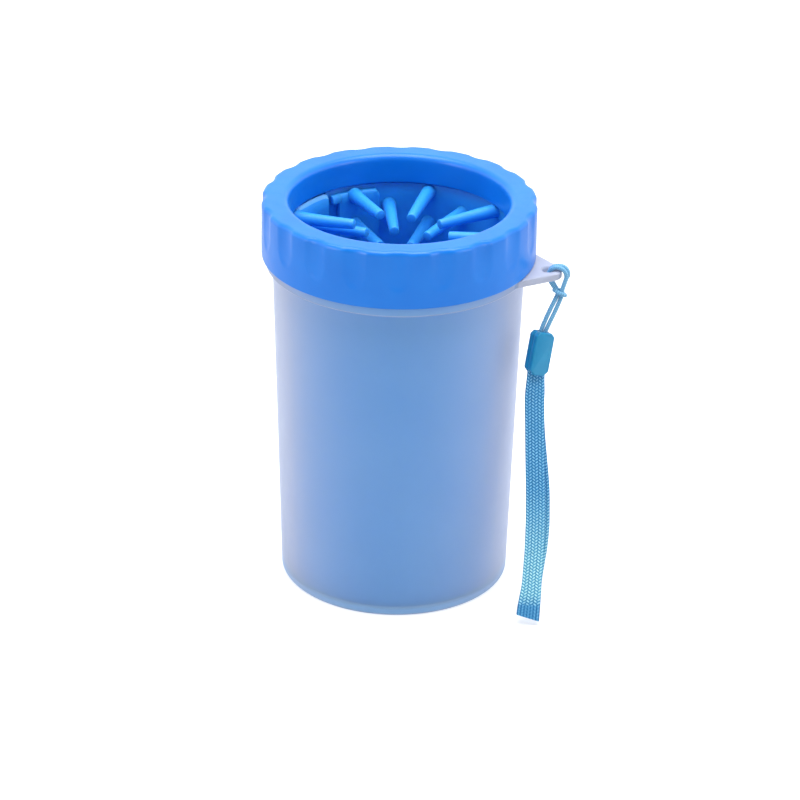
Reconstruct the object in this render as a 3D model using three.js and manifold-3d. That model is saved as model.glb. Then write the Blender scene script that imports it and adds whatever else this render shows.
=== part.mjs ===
// Paw washer cup: a cup with a soft bristle lining, a screw-on ring and a wrist lanyard.
// Units are millimetres, +Z is up, and the origin is the centre of the cup's flat underside.
// Azimuths are in degrees about +Z, measured from +X. Radii are from the cup's axis.
import * as THREE from 'three';
import { mergeVertices } from 'three/addons/utils/BufferGeometryUtils.js';
import Module from 'manifold-3d';

const wasm = await Module();
wasm.setup();

const MATERIALS = {
  cup: { color: 0xc3cdec, roughness: 0.45 },
  ring: { color: 0x2f80ea, roughness: 0.3 },
  gasket: { color: 0xe8ecf2, roughness: 0.7 },
  sleeve: { color: 0x2d78dd, roughness: 0.6 },
  cord: { color: 0x78b8e0, roughness: 0.8 },
  clamp: { color: 0x2e92c8, roughness: 0.35 },
  strap: { color: 0x58a8dc, roughness: 0.85 },
};

// ---- helpers ------------------------------------------------------------------------------
const rad = THREE.MathUtils.degToRad;
const lerp = THREE.MathUtils.lerp;
const clamp01 = (value) => Math.min(1, Math.max(0, value));

// Position-only geometry with shared vertices merged, no empty triangles, and faces pointing out.
function closed(geometry) {
  const bare = new THREE.BufferGeometry();
  bare.setAttribute('position', geometry.attributes.position);
  bare.setIndex(geometry.index);
  const merged = mergeVertices(bare, 1e-4);
  const index = merged.index.array;
  const corners = [0, 1, 2].map(() => new THREE.Vector3());
  const kept = [];
  let volume = 0;
  for (let i = 0; i < index.length; i += 3) {
    const triangle = [index[i], index[i + 1], index[i + 2]];
    if (new Set(triangle).size < 3) continue;
    kept.push(...triangle);
    corners.forEach((corner, k) => {
      corner.fromBufferAttribute(merged.attributes.position, triangle[k]);
    });
    volume += corners[0].dot(corners[1].cross(corners[2]));
  }
  if (volume < 0) {
    for (let i = 0; i < kept.length; i += 3) {
      [kept[i + 1], kept[i + 2]] = [kept[i + 2], kept[i + 1]];
    }
  }
  merged.setIndex(kept);
  return merged;
}

function solid(geometry) {
  const shell = closed(geometry);
  return new wasm.Manifold(new wasm.Mesh({
    numProp: 3,
    vertProperties: new Float32Array(shell.attributes.position.array),
    triVerts: new Uint32Array(shell.index.array),
  }));
}

function geometryOf(manifold) {
  const mesh = manifold.getMesh();
  const geometry = new THREE.BufferGeometry();
  const positions = new Float32Array(mesh.vertProperties);
  geometry.setAttribute('position', new THREE.BufferAttribute(positions, 3));
  geometry.setIndex(new THREE.BufferAttribute(new Uint32Array(mesh.triVerts), 1));
  return geometry;
}

const joinAll = (solids) => solids.reduce((sum, next) => sum.add(next));

// Lathe about Z from [radius, height] pairs.
function turned(profile, segments) {
  const points = profile.map(([r, z]) => new THREE.Vector2(r, z));
  return new THREE.LatheGeometry(points, segments).rotateX(Math.PI / 2);
}

// Closed outline through [x, y] pairs.
function polygon(corners) {
  const shape = new THREE.Shape(corners.map(([x, y]) => new THREE.Vector2(x, y)));
  shape.closePath();
  return shape;
}

// Moves every vertex of a geometry in place with move(vertex).
function warp(geometry, move) {
  const position = geometry.attributes.position;
  const vertex = new THREE.Vector3();
  for (let i = 0; i < position.count; i++) {
    vertex.fromBufferAttribute(position, i);
    move(vertex);
    position.setXYZ(i, vertex.x, vertex.y, vertex.z);
  }
  return geometry;
}

function addPiece(parent, name, geometry, material) {
  const mesh = new THREE.Mesh(geometry, new THREE.MeshStandardMaterial(material));
  mesh.name = name;
  parent.add(mesh);
}

// ---- screw thread -------------------------------------------------------------------------
const PITCH = 5.0;
const THREAD_TURNS = 1.5;
const THREAD_Z = 133.0;         // start of the neck's thread
const THREAD_DEPTH = 1.05;
const THREAD_SINK = 0.5;        // overlap of the ridge with the wall that carries it
const THREAD_ROOT_HALF = 1.3;   // half the ridge's height at its root
const THREAD_CREST_HALF = 0.7;
const THREAD_RUNOUT = 0.06;     // length of the fade at each end, in turns
const THREAD_END_SHARE = 0.45;  // share of the full depth left at the very ends
const THREAD_STEPS_PER_TURN = 30;

// A helical ridge that starts at height startZ.
function ridge(rootR, crestR, startZ) {
  const steps = Math.round(THREAD_STEPS_PER_TURN * THREAD_TURNS);
  return warp(new THREE.BoxGeometry(1, 1, 1, steps, 1, 1), (v) => {
    const turn = (v.x + 0.5) * THREAD_TURNS;
    const out = v.y + 0.5;
    const fade = clamp01(Math.min(turn, THREAD_TURNS - turn) / THREAD_RUNOUT);
    const half = lerp(THREAD_ROOT_HALF, THREAD_CREST_HALF, out);
    const r = lerp(rootR, lerp(lerp(rootR, crestR, THREAD_END_SHARE), crestR, fade), out);
    const angle = turn * Math.PI * 2;
    const z = startZ + PITCH * turn + v.z * 2 * half;
    v.set(r * Math.cos(angle), r * Math.sin(angle), z);
  });
}

// ---- cup body -----------------------------------------------------------------------------
const CUP_SEGMENTS = 60;
const CUP_BOTTOM_R = 42.6;
const CUP_TOP_R = 46.0;
const CUP_TOP_Z = 124.2;
const CUP_FLOOR = 2.5;
const FLANGE_R = 48.5;
const FLANGE_Z0 = 124.9;
const FLANGE_Z1 = 128.1;
const NECK_R = 45.5;
const NECK_TOP = 144.6;
const BORE_BOTTOM_R = 40.8;     // inside wall just above the floor
const BORE_TOP_R = 43.8;        // inside wall near the rim

const LUG_AZ = -13;
const LUG_HOLE_AT = 55.5;       // distance of the hole from the cup's axis
const LUG_HOLE_R = 2.2;
const LUG_TIP_R = 5.0;
const LUG_TIP_ANGLE = 50;       // half the arc of the round tip, degrees
const LUG_ROOT = { at: 45.0, half: 14.0 };      // inner end, inside the flange
const LUG_SHOULDER = { at: 47.0, half: 13.6 };  // where the straight flanks start
const LUG_Z0 = 125.3;
const LUG_Z1 = FLANGE_Z1;

// Flat tongue on the flange with a hole for the cord.
function lug() {
  const tipAngle = rad(LUG_TIP_ANGLE);
  const flankEnd = LUG_HOLE_AT + LUG_TIP_R * Math.cos(tipAngle);
  const shape = new THREE.Shape();
  shape.moveTo(LUG_ROOT.at, -LUG_ROOT.half);
  shape.lineTo(LUG_SHOULDER.at, -LUG_SHOULDER.half);
  shape.lineTo(flankEnd, -LUG_TIP_R * Math.sin(tipAngle));
  shape.absarc(LUG_HOLE_AT, 0, LUG_TIP_R, -tipAngle, tipAngle, false);
  shape.lineTo(LUG_SHOULDER.at, LUG_SHOULDER.half);
  shape.lineTo(LUG_ROOT.at, LUG_ROOT.half);
  shape.closePath();
  const hole = new THREE.Path();
  hole.absarc(LUG_HOLE_AT, 0, LUG_HOLE_R, 0, Math.PI * 2, true);
  shape.holes.push(hole);
  const plate = { depth: LUG_Z1 - LUG_Z0, bevelEnabled: false, curveSegments: 10 };
  return solid(new THREE.ExtrudeGeometry(shape, plate).translate(0, 0, LUG_Z0)
    .rotateZ(rad(LUG_AZ)));
}

function cupBody() {
  // [radius, height], up the outside, over the rim and down the bore
  const shell = solid(turned([
    [0, 0], [41.0, 0], [42.2, 0.5], [CUP_BOTTOM_R, 1.8],
    [CUP_TOP_R, CUP_TOP_Z], [FLANGE_R, FLANGE_Z0], [FLANGE_R, FLANGE_Z1], [NECK_R, FLANGE_Z1],
    [NECK_R, NECK_TOP - 0.7], [NECK_R - 0.6, NECK_TOP],
    [BORE_TOP_R + 0.5, NECK_TOP], [BORE_TOP_R, NECK_TOP - 0.5], [BORE_TOP_R, 126.0],
    [BORE_BOTTOM_R, 4.0], [BORE_BOTTOM_R - 0.1, 3.0], [40.3, 2.6], [0, CUP_FLOOR],
  ], CUP_SEGMENTS));
  const thread = solid(ridge(NECK_R - THREAD_SINK, NECK_R + THREAD_DEPTH, THREAD_Z));
  return geometryOf(joinAll([shell, lug(), thread]));
}

// ---- screw ring ---------------------------------------------------------------------------
const RING_R = 50.0;            // over the crests of the grip
const RING_TOP = 150.0;
const RING_BOTTOM = 128.4;
const RING_BORE_R = 40.0;       // clear opening for the paw
const RING_SKIRT_BOTTOM = 139.0; // lower edge of the inner skirt
const RING_SKIRT_R = 42.8;      // outer face of the inner skirt
const RING_ROOT_R = 46.95;      // inner face of the outer skirt, thread root
const RING_WEB_Z = 147.2;       // underside of the top web
const FLUTES = 20;
const FLUTE_SEGMENTS = 4;       // lathe segments per flute
const FLUTE_DEPTH = 0.9;
const FLUTE_END = 135.5;        // where the scoops run out
const FLUTE_HALF = 0.263;       // half a scoop's width at the top, as a share of the flute pitch
const FLUTE_MIN_R = 48.5;       // vertices inside this radius are left alone

// The grip: shallow concave scoops, widest and deepest at the top edge, with a round lower end.
function scoop(v) {
  const r = Math.hypot(v.x, v.y);
  if (r < FLUTE_MIN_R) return;
  const flute = Math.atan2(v.y, v.x) / (2 * Math.PI) * FLUTES;
  const off = (flute - Math.round(flute)) / FLUTE_HALF;
  const rise = clamp01((v.z - FLUTE_END) / (RING_TOP - FLUTE_END));
  const cut = Math.max(0, FLUTE_DEPTH * (rise - off * off));
  v.x *= (r - cut) / r;
  v.y *= (r - cut) / r;
}

function screwRing() {
  // [radius, height], up the bore, over the top, down the grip and back under the web
  const body = warp(turned([
    [RING_BORE_R, RING_SKIRT_BOTTOM], [RING_BORE_R, 147.9], [RING_BORE_R + 0.6, 149.4],
    [RING_BORE_R + 2.1, RING_TOP], [49.2, RING_TOP], [49.8, 149.8], [RING_R, 149.2],
    [RING_R, 143.5], [RING_R, FLUTE_END], [RING_R, 129.0], [49.6, RING_BOTTOM],
    [47.4, RING_BOTTOM], [RING_ROOT_R, 128.9], [RING_ROOT_R, 146.7], [46.4, RING_WEB_Z],
    [43.4, RING_WEB_Z], [RING_SKIRT_R, 146.7], [RING_SKIRT_R, 139.4],
    [42.4, RING_SKIRT_BOTTOM], [RING_BORE_R, RING_SKIRT_BOTTOM],
  ], FLUTES * FLUTE_SEGMENTS), scoop);
  const thread = ridge(RING_ROOT_R + THREAD_SINK, RING_ROOT_R - THREAD_DEPTH,
    THREAD_Z - PITCH / 2);
  return geometryOf(joinAll([solid(body), solid(thread)]));
}

// ---- rim gasket ---------------------------------------------------------------------------
const GASKET = { innerR: 43.4, outerR: 46.4, bottom: 144.9, top: 146.9 };

function rimGasket() {
  const { innerR, outerR, bottom, top } = GASKET;
  return closed(turned([
    [innerR, bottom], [outerR, bottom], [outerR, top], [innerR, top], [innerR, bottom],
  ], CUP_SEGMENTS));
}

// ---- bristle sleeve -----------------------------------------------------------------------
// The mat is one sheet bent into a tube. Each column of bristles stands on a flat of its own.
const MAT = 2.0;                // lining thickness
const MAT_Z0 = 2.9;
const MAT_Z1 = 138.4;
const MAT_KNEE = 123.3;         // above this the lining stands upright
const MAT_BOTTOM_R = 40.3;      // outer radius at the bottom
const MAT_TOP_R = 43.4;         // outer radius from the knee up
const FLAT_HALF = 5.1;          // half the width of a bristle column's flat, degrees
const MAT_END_AZ = 130.9;       // the end next to the doubled strip
// The other end leaves the cup's wall at one azimuth and leans inwards to a free edge.
// The inward offsets hold at LEAN.atR and scale with the radius.
const LEAN = { fromAz: 164, bendAz: 152, edgeAz: 132, bendIn: 1.9, edgeIn: 2.1, atR: 41.4 };
const LOW_TOP = { below: -200, z: 137.9 };  // top edge near the free edge, azimuths below 0

// Strip doubled onto the mat's inner face, narrowing in height at its low-azimuth edge.
const PAD = 2.4;                // extra thickness of the doubled strip
const PAD_COLUMN = 115.5;       // the bristle column it carries
const PAD_AZ = { start: 124.6, step: 103.2, end: 101.2 };
const PAD_Z = { bottom: 3.3, top: 136.8, endTop: 135.3 };
const PAD_OVERLAP = 0.4;        // how far it reaches into the mat
const TAB = { az: [129.6, 126.6, 123.5], innerIn: 0.17, outerIn: 0.63, z0: 133.6, z1: 136.6 };

const ROWS = 20;
const ROW_PITCH = 6.55;
const ROW_TOP = 136.1;
const BRISTLE = {
  baseR: 2.6,
  tipR: 1.8,
  sides: 6,
  tipAt: 16.3,                  // distance of the tips from the cup's axis
  sink: 0.8,                    // depth of the base in the mat
  drop: 1.0,                    // how far the tip is below the base
};
// Azimuths of the bristles in alternate rows, starting with the top row.
const AZ_EVEN = [-8.0, 31.0, 74.8, PAD_COLUMN, 159.9, 197.7, 235.4, 273.1, 310.8];
const AZ_ODD = [9.8, 55.7, 95.6, 148.0, 178.9, 216.5, 254.0, 292.0, 329.7];

// The lining's radii at height z, before the lean.
const matOuter = (z) => lerp(MAT_BOTTOM_R, MAT_TOP_R,
  clamp01((z - MAT_Z0) / (MAT_KNEE - MAT_Z0)));
const matInner = (z) => matOuter(z) - MAT;

// Factor on the mat's radii at an azimuth.
function lean(azimuth) {
  const az = azimuth < 0 ? azimuth + 360 : azimuth;
  const { fromAz, bendAz, edgeAz, bendIn, edgeIn, atR } = LEAN;
  if (az > fromAz || az < edgeAz) return 1;
  const inward = az > bendAz
    ? lerp(0, bendIn, (fromAz - az) / (fromAz - bendAz))
    : lerp(bendIn, edgeIn, (bendAz - az) / (bendAz - edgeAz));
  return 1 - inward / atR;
}

// A wall through a list of azimuths. inner(az, z) and outer(az, z) give its radii, top(az)
// its upper edge. The middle row of vertices is at the knee, or halfway up if that is higher.
function wall(stops, inner, outer, bottom, top) {
  const count = stops.length - 1;
  return warp(new THREE.BoxGeometry(1, 1, 1, count, 1, 2), (v) => {
    const az = stops[Math.round((v.x + 0.5) * count)];
    let z = Math.max(MAT_KNEE, (bottom + top(az)) / 2);
    if (v.z < -0.25) z = bottom;
    if (v.z > 0.25) z = top(az);
    const r = v.y < 0 ? inner(az, z) : outer(az, z);
    v.set(r * Math.cos(rad(az)), r * Math.sin(rad(az)), z);
  });
}

function mat() {
  // Unrolled, the columns run from the free edge round to the doubled strip.
  const columns = [...AZ_EVEN, ...AZ_ODD]
    .map((az) => (az > PAD_AZ.start ? az - 360 : az))
    .sort((a, b) => a - b);
  const stops = columns.flatMap((az) => [az - FLAT_HALF, az + FLAT_HALF]);
  stops[0] = LEAN.edgeAz - 360;
  stops.push(MAT_END_AZ);
  return solid(wall(stops,
    (az, z) => matInner(z) * lean(az),
    (az, z) => matOuter(z) * lean(az),
    MAT_Z0, (az) => (az < LOW_TOP.below ? LOW_TOP.z : MAT_Z1)));
}

function doubledStrip() {
  const { start, step, end } = PAD_AZ;
  return solid(wall([start, PAD_COLUMN + FLAT_HALF, PAD_COLUMN - FLAT_HALF, step, end],
    (az, z) => matInner(z) - PAD,
    (az, z) => matInner(z) + PAD_OVERLAP,
    PAD_Z.bottom, (az) => (az < step ? PAD_Z.endTop : PAD_Z.top)));
}

// Small tab at the top of the doubled strip.
function stripTab() {
  return solid(wall(TAB.az,
    (az, z) => matInner(z) - PAD - TAB.innerIn,
    (az, z) => matInner(z) - TAB.outerIn,
    TAB.z0, () => TAB.z1));
}

function bristle(az, z) {
  const pad = az > PAD_AZ.end && az < PAD_AZ.start ? PAD : 0;
  const baseAt = (matInner(z) + BRISTLE.sink - pad) * lean(az);
  const pointAt = (r, height) => new THREE.Vector3(
    r * Math.cos(rad(az)), r * Math.sin(rad(az)), height);
  const base = pointAt(baseAt, z);
  const tip = pointAt(BRISTLE.tipAt, z - BRISTLE.drop);
  const axis = tip.clone().sub(base);
  const middle = base.clone().add(tip).multiplyScalar(0.5);
  const turn = new THREE.Quaternion()
    .setFromUnitVectors(new THREE.Vector3(0, 1, 0), axis.clone().normalize());
  return solid(
    new THREE.CylinderGeometry(BRISTLE.tipR, BRISTLE.baseR, axis.length(), BRISTLE.sides, 1)
      .applyQuaternion(turn)
      .translate(middle.x, middle.y, middle.z));
}

function bristleSleeve() {
  const parts = [mat(), doubledStrip(), stripTab()];
  for (let row = 0; row < ROWS; row++) {
    for (const az of row % 2 ? AZ_ODD : AZ_EVEN) {
      parts.push(bristle(az, ROW_TOP - row * ROW_PITCH));
    }
  }
  return geometryOf(joinAll(parts));
}

// ---- lanyard frame ------------------------------------------------------------------------
// The lanyard leans forward from the lug. Its frame: x across the strap, y up along it, z out
// of its front face, towards -Y of the cup, with its origin at the middle of the cord loop.
// Places on it are given as x across and s down from the origin.
const LANYARD_LEAN = Math.asin(0.26181);              // from the vertical
const LINK_R = 3.3;                                   // cord loop through the lug
const LINK_AT = LUG_HOLE_AT + (LUG_HOLE_R + LUG_TIP_R) / 2; // middle of the lug's rim
const LINK_Z = 126.25;

const lugOut = new THREE.Vector3(Math.cos(rad(LUG_AZ)), Math.sin(rad(LUG_AZ)), 0);
const lugSide = new THREE.Vector3(-Math.sin(rad(LUG_AZ)), Math.cos(rad(LUG_AZ)), 0);
const linkCentre = lugOut.clone().multiplyScalar(LINK_AT).setZ(LINK_Z);

const lanyard = new THREE.Group();
lanyard.position.copy(linkCentre);
lanyard.quaternion.setFromRotationMatrix(new THREE.Matrix4().makeBasis(
  new THREE.Vector3(1, 0, 0),
  new THREE.Vector3(0, Math.sin(LANYARD_LEAN), Math.cos(LANYARD_LEAN)),
  new THREE.Vector3(0, -Math.cos(LANYARD_LEAN), Math.sin(LANYARD_LEAN))));

const onLanyard = (x, s) => new THREE.Vector3(x, -s, 0);

// ---- lanyard cord -------------------------------------------------------------------------
const CLAMP_TOP = { x: -4.8, s: 20.8 };
const CLAMP = { w: 7.3, l: 15.9, d: 6.2, gap: 0.3, chamfer: 1.5, yaw: 23, tilt: 9.0 };
const CORD_R = 0.8;
const CORD_SIDES = 6;
const KNOT = { x: 0.91, s: 6.2, r: 1.7, scale: [1.05, 0.85, 0.9] };
const LOOP_STEPS = 12;
const LOOP_SKEW = 0.35;         // share of the knot's sideways offset taken up by the loop's ends
// Each strand's distance from the centre line at three places, and its length in the clamp.
const STRAND = { atKnot: 0.35, atMiddle: 0.78, atClamp: 0.72, inside: 2.4 };
const STRAND_MIDDLE = { share: 0.6, shift: 0.1 };  // share of the way down, and shift in x

function cord(points, steps) {
  const section = polygon(Array.from({ length: CORD_SIDES }, (_, i) => {
    const angle = (i / CORD_SIDES) * Math.PI * 2;
    return [CORD_R * Math.cos(angle), CORD_R * Math.sin(angle)];
  }));
  const extrudePath = new THREE.CatmullRomCurve3(points);
  return solid(new THREE.ExtrudeGeometry(section, { steps, bevelEnabled: false, extrudePath }));
}

// From the knot, round the link circle between its two tangent points, and back.
function cordLoop() {
  const knot = onLanyard(KNOT.x, KNOT.s);
  const reach = lanyard.localToWorld(knot.clone()).sub(linkCentre);
  const reachOut = reach.dot(lugOut);
  const reachSide = reach.dot(lugSide);
  const knotAngle = Math.atan2(reach.z, reachOut);
  const tangent = Math.acos(LINK_R / Math.hypot(reachOut, reach.z));
  const points = [knot];
  for (let i = 0; i <= LOOP_STEPS; i++) {
    const angle = lerp(knotAngle + tangent, knotAngle - tangent + Math.PI * 2, i / LOOP_STEPS);
    const fromMiddle = Math.abs(i - LOOP_STEPS / 2) / (LOOP_STEPS / 2);
    const point = linkCentre.clone()
      .addScaledVector(lugOut, LINK_R * Math.cos(angle))
      .addScaledVector(lugSide, reachSide * LOOP_SKEW * Math.pow(fromMiddle, 3))
      .setZ(LINK_Z + LINK_R * Math.sin(angle));
    points.push(lanyard.worldToLocal(point));
  }
  points.push(knot.clone());
  return cord(points, 30);
}

// One of the two strands from the knot into the clamp; side is -1 or 1.
function strand(side) {
  const { share, shift } = STRAND_MIDDLE;
  const middleX = lerp(KNOT.x, CLAMP_TOP.x, share) + shift;
  const clampX = CLAMP_TOP.x + side * STRAND.atClamp;
  const tilt = rad(CLAMP.tilt);
  return cord([
    onLanyard(KNOT.x + side * STRAND.atKnot, KNOT.s),
    onLanyard(middleX + side * STRAND.atMiddle, lerp(KNOT.s, CLAMP_TOP.s, share)),
    onLanyard(clampX, CLAMP_TOP.s),
    onLanyard(clampX - Math.sin(tilt) * STRAND.inside,
      CLAMP_TOP.s + Math.cos(tilt) * STRAND.inside),
  ], 6);
}

function lanyardCord() {
  const knot = solid(new THREE.SphereGeometry(KNOT.r, 10, 8)
    .scale(...KNOT.scale).translate(KNOT.x, -KNOT.s, 0));
  return geometryOf(joinAll([cordLoop(), knot, strand(-1), strand(1)]));
}

// ---- strap clamp --------------------------------------------------------------------------
// Two shells that meet on a plane across the strap, with a pocket for the cord's ends.
const POCKET = [3.9, 6.4, 3.0];  // width, height, depth, centred on the clamp's top edge

function clampShell(front) {
  const { l, chamfer, gap } = CLAMP;
  const w = CLAMP.w / 2;
  const outline = polygon([
    [-w + chamfer, 0], [w - chamfer, 0], [w, -chamfer], [w, -l + chamfer],
    [w - chamfer, -l], [-w + chamfer, -l], [-w, -l + chamfer], [-w, -chamfer],
  ]);
  const depth = (CLAMP.d - gap) / 2;
  const body = solid(new THREE.ExtrudeGeometry(outline, { depth, bevelEnabled: false })
    .translate(0, 0, front ? gap / 2 : -gap / 2 - depth));
  return geometryOf(body.subtract(solid(new THREE.BoxGeometry(...POCKET))));
}

function addClamp() {
  const tilted = new THREE.Group();
  tilted.position.set(CLAMP_TOP.x, -CLAMP_TOP.s, 0);
  tilted.rotation.set(0, 0, rad(-CLAMP.tilt));
  lanyard.add(tilted);
  const turnedGroup = new THREE.Group();
  turnedGroup.rotation.set(0, rad(CLAMP.yaw), 0);
  tilted.add(turnedGroup);
  addPiece(turnedGroup, 'strap_clamp_front', clampShell(true), MATERIALS.clamp);
  addPiece(turnedGroup, 'strap_clamp_rear', clampShell(false), MATERIALS.clamp);
}

// ---- wrist strap --------------------------------------------------------------------------
// Webbing doubled into a flat loop: two layers with a slit between them and round ends.
const STRAP_W = 7.2;
const STRAP_LAYER = 1.0;
const STRAP_SLIT = 0.5;
const STRAP_HALF = STRAP_LAYER + STRAP_SLIT / 2;
const STRAP_PIVOT = 39.2;       // s of the upper end's round axis, where it bends at the clamp
const STRAP_END = 128.2;
const SLIT_FROM = STRAP_PIVOT + 6;
const SLIT_TO = STRAP_END - 2.6;
const SLIT_OVERCUT = 4;         // extra width of the cutter
// Centre line of the strap: [s, x].
const STRAP_PATH = [
  [38.0, -7.12], [46.15, -7.33], [57.3, -6.99], [68.5, -6.61], [79.7, -6.15], [91.0, -5.91],
  [102.3, -6.07], [109.9, -6.48], [117.5, -6.88], [123.2, -7.48], [STRAP_END, -7.88],
];

function strapX(s) {
  let i = 1;
  while (i < STRAP_PATH.length - 1 && s > STRAP_PATH[i][0]) i++;
  const [fromS, fromX] = STRAP_PATH[i - 1];
  const [toS, toX] = STRAP_PATH[i];
  return lerp(fromX, toX, clamp01((s - fromS) / (toS - fromS)));
}

// Shifts a straight geometry sideways onto the centre line.
const follow = (geometry) => solid(warp(geometry, (v) => {
  v.x += strapX(-v.y);
}));

const strapBar = (width, from, to, depth) => follow(
  new THREE.BoxGeometry(width, to - from, depth, 1, 10, 1).translate(0, -(from + to) / 2, 0));

const strapEnd = (s) => follow(new THREE.CylinderGeometry(STRAP_HALF, STRAP_HALF, STRAP_W, 12, 1)
  .rotateZ(Math.PI / 2).translate(0, -s, 0));

function wristStrap() {
  const lowerAxis = STRAP_END - STRAP_HALF;
  const band = strapBar(STRAP_W, STRAP_PIVOT, lowerAxis, 2 * STRAP_HALF);
  const slit = strapBar(STRAP_W + SLIT_OVERCUT, SLIT_FROM, SLIT_TO, STRAP_SLIT);
  const outside = joinAll([band, strapEnd(STRAP_PIVOT), strapEnd(lowerAxis)]);
  return geometryOf(outside.subtract(slit));
}

// ---- assembly -----------------------------------------------------------------------------
const root = new THREE.Group();
addPiece(root, 'cup_body', cupBody(), MATERIALS.cup);
addPiece(root, 'screw_ring', screwRing(), MATERIALS.ring);
addPiece(root, 'rim_gasket', rimGasket(), MATERIALS.gasket);
addPiece(root, 'bristle_sleeve', bristleSleeve(), MATERIALS.sleeve);
root.add(lanyard);
addPiece(lanyard, 'lanyard_cord', lanyardCord(), MATERIALS.cord);
addClamp();
addPiece(lanyard, 'wrist_strap', wristStrap(), MATERIALS.strap);

export default root;
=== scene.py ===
"""A lidded cup with a bristle lining, a screw ring, a gasket and a wrist lanyard.

The cup stands on the floor on the Z axis, and the camera looks from -Y. The lanyard hangs
from a lug on the +X side. Meshes are drawn in millimetres and azimuths in degrees from +X.
Shaders, lights and camera are in metres.
"""
import math

import bmesh
import bpy
import numpy as np
from mathutils import Matrix, Vector


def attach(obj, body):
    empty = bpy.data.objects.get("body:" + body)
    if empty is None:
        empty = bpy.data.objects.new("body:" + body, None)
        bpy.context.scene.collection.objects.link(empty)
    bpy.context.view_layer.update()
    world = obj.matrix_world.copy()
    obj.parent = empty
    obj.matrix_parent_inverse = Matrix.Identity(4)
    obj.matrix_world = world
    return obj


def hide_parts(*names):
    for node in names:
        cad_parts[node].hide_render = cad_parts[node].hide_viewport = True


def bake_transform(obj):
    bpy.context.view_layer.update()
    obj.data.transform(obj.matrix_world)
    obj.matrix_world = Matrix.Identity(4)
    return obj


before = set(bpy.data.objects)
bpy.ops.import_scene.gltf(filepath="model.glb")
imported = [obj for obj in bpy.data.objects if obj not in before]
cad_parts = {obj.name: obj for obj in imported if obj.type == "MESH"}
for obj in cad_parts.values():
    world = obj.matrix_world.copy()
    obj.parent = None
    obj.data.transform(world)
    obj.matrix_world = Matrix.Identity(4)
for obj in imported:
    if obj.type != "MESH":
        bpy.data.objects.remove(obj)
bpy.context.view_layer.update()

MM = 0.001
TAU = math.tau


# ---------------------------------------------------------------- numbers
def clamp01(t):
    return np.clip(t, 0.0, 1.0)


def smooth(start, end, x):
    t = clamp01((np.asarray(x, float) - start) / (end - start))
    return t * t * (3 - 2 * t)


def hash01(*keys):
    """A repeatable scatter value from 0 to 1."""
    weights = (12.9898, 78.233, 37.719, 4.581)
    value = math.sin(sum(key * w for key, w in zip(keys, weights))) * 43758.5453
    return value - math.floor(value)


# ---------------------------------------------------------------- objects
def add_object(name, data):
    ob = bpy.data.objects.new(name, data)
    bpy.context.scene.collection.objects.link(ob)
    return ob


def object_from_grid(name, verts, faces, attributes=None):
    """An object from vertices in millimetres, with float attributes per vertex."""
    mesh = bpy.data.meshes.new(name)
    points = [tuple(v) for v in np.asarray(verts, float) * MM]
    mesh.from_pydata(points, [], [tuple(int(i) for i in face) for face in faces])
    mesh.update()
    for key, values in (attributes or {}).items():
        attribute = mesh.attributes.new(key, "FLOAT", "POINT")
        attribute.data.foreach_set("value", np.asarray(values, np.float32))
    return add_object(name, mesh)


def object_from_bmesh(name, bm, mesh_name=None):
    mesh = bpy.data.meshes.new(mesh_name or name)
    bm.to_mesh(mesh)
    bm.free()
    return add_object(name, mesh)


def tidy(ob, sharp_deg, merge=None):
    """Outward normals, smooth faces, and edges sharper than sharp_deg kept crisp."""
    bm = bmesh.new()
    bm.from_mesh(ob.data)
    if merge:
        bmesh.ops.remove_doubles(bm, verts=bm.verts, dist=merge * MM)
    bmesh.ops.recalc_face_normals(bm, faces=bm.faces)
    limit = math.radians(sharp_deg)
    for face in bm.faces:
        face.smooth = True
    for edge in bm.edges:
        edge.smooth = not (len(edge.link_faces) == 2 and edge.calc_face_angle(0.0) > limit)
    bm.to_mesh(ob.data)
    bm.free()
    ob.data.update()
    return ob


def apply_modifiers(ob):
    graph = bpy.context.evaluated_depsgraph_get()
    mesh = bpy.data.meshes.new_from_object(
        ob.evaluated_get(graph), preserve_all_data_layers=True, depsgraph=graph)
    ob.modifiers.clear()
    old = ob.data
    ob.data = mesh
    bpy.data.meshes.remove(old)


def boolean(ob, other, operation):
    """Applies a boolean with another object, and uses that object up."""
    modifier = ob.modifiers.new("boolean", "BOOLEAN")
    modifier.operation = operation
    modifier.solver = "EXACT"
    modifier.object = other
    apply_modifiers(ob)
    bpy.data.objects.remove(other)
    # leave no empty material slot from the modifier
    ob.data.materials.clear()


def deliver(ob, materials, replaces, ride=None):
    for made in materials:
        ob.data.materials.append(made)
    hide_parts(replaces)
    if ride:
        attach(ob, ride)


def frame_matrix(x_axis, y_axis, z_axis, origin):
    return Matrix([*zip(x_axis, y_axis, z_axis, origin), (0, 0, 0, 1)])


# ---------------------------------------------------------------- shapes
def grid(points, close_u=False, close_v=True, cap=False):
    """Vertices and faces of points[u, v, 3]. cap closes both ends of u with one face each."""
    n, m = points.shape[:2]
    faces = []
    for i in range(n if close_u else n - 1):
        a, b = i * m, ((i + 1) % n) * m
        for j in range(m if close_v else m - 1):
            k = (j + 1) % m
            faces.append((a + j, a + k, b + k, b + j))
    if cap:
        faces.append(tuple(range(m - 1, -1, -1)))
        faces.append(tuple(range((n - 1) * m, n * m)))
    return points.reshape(-1, 3), faces


def joined(grids):
    """Several grids as one list of vertices and one of faces."""
    verts, faces = [], []
    for more_verts, more_faces in grids:
        base = len(verts)
        verts.extend(more_verts)
        faces.extend(tuple(base + i for i in face) for face in more_faces)
    return verts, faces


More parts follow.
